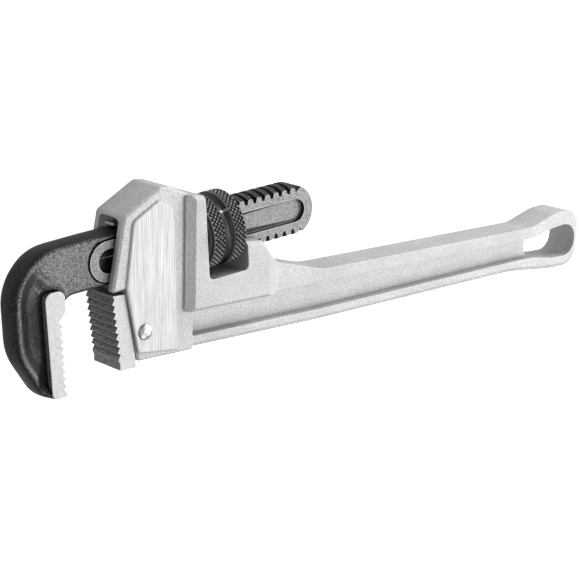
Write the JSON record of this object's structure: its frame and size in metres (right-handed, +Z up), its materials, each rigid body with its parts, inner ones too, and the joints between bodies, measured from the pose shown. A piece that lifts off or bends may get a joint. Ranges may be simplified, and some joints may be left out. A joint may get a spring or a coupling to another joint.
{
  "type": "pipe wrench",
  "caption": "Straight pipe wrench with a cast I-beam handle, a screw-adjusted sliding hook jaw, a knurled ring nut and a toothed heel jaw.",
  "frame": {"origin": "middle of the footprint, on the surface that the wrench lies on", "axes": "+X along the handle towards the hanging loop, +Y from the handle towards the top of the housing, +Z up, across the wrench"},
  "size_m": [0.3492, 0.087, 0.0336],
  "materials": {
    "cast_aluminium": "sand cast and bead blasted",
    "black_steel": "forged, black oxide, satin",
    "ground_steel": "ground",
    "spring_steel": "bright rolled strip and wire"
  },
  "bodies": {
    "body": {"handle_body": "cast_aluminium", "heel_jaw": "ground_steel", "heel_jaw_pin": "ground_steel", "spring_rivet": "spring_steel", "coil_spring": "spring_steel"},
    "spring": {"flat_spring": "spring_steel"},
    "hook_jaw": {"hook_jaw": "black_steel"},
    "nut": {"adjusting_nut": "black_steel"}
  },
  "joints": [
    {"name": "jaw_rock", "type": "hinge", "parent": "body", "child": "spring", "pos_m": [-0.06906, 0.01855, 0.0168], "axis": [0, 0, -1], "range_deg": [0, 3.5], "stiffness_Nm_per_rad": 6, "springref_deg": -2.86, "deforming": ["flat_spring", "coil_spring"]},
    {"name": "nut_spin", "type": "hinge", "parent": "spring", "child": "nut", "pos_m": [-0.06906, 0.01855, 0.0168], "axis": [0.9968, 0.0802, 0], "range_deg": [-1478, 2738]},
    {"name": "hook_slide", "type": "slide", "parent": "spring", "child": "hook_jaw", "axis": [0.9968, 0.0802, 0], "range_m": [-0.038, 0.0205]}
  ],
  "couplings": [
    {"joint": "nut_spin", "follows": "hook_slide", "rad_per_m": -1256.6}
  ]
}
